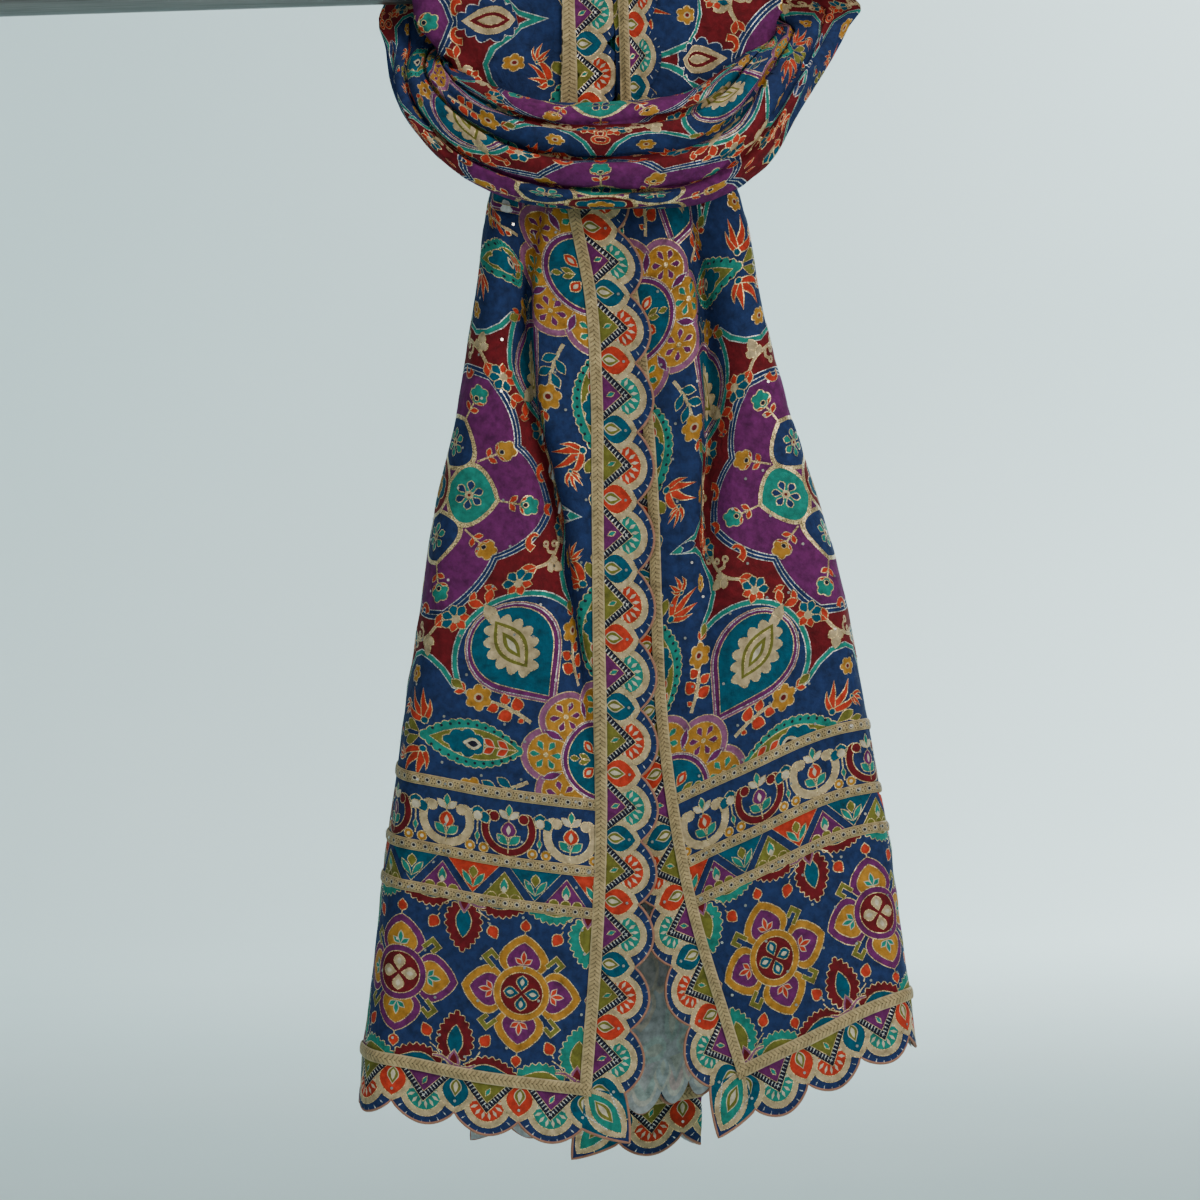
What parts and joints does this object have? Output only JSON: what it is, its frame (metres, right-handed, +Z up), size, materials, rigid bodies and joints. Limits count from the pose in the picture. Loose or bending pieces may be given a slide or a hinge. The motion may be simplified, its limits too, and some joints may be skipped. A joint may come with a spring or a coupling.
{
  "type": "dupatta stole on a hanging rod",
  "caption": "Printed dupatta stole with scalloped borders and gold braids, looped over a plain hanging rod with a cow hitch.",
  "frame": {"origin": "on the rod's axis, in the middle of the hitch", "axes": "+X along the rod, to the right seen from the front; +Y to the back; +Z up"},
  "size_m": [1.1, 0.1686, 0.9724],
  "materials": {
    "rod_steel": "satin",
    "printed_cloth": "woven, printed, slight sheen",
    "border_cloth": "woven, printed, slight sheen",
    "gold_braid": "metal thread braid"
  },
  "bodies": {
    "root": {"hanging_rod": "rod_steel", "left_end_cloth": "printed_cloth", "left_front_border": "border_cloth", "left_back_border": "border_cloth", "left_hem_border": "border_cloth", "left_front_braid": "gold_braid", "left_back_braid": "gold_braid", "left_hem_braid": "gold_braid", "left_cross_tape_1": "gold_braid", "left_cross_tape_2": "gold_braid", "left_cross_tape_3": "gold_braid", "right_end_cloth": "printed_cloth", "right_front_border": "border_cloth", "right_back_border": "border_cloth", "right_hem_border": "border_cloth", "right_front_braid": "gold_braid", "right_back_braid": "gold_braid", "right_hem_braid": "gold_braid", "right_cross_tape_1": "gold_braid", "right_cross_tape_2": "gold_braid", "right_cross_tape_3": "gold_braid", "left_over_rod": "printed_cloth", "right_over_rod": "printed_cloth", "left_leg": "printed_cloth", "front_band": "printed_cloth", "right_leg": "printed_cloth"}
  },
  "joints": []
}
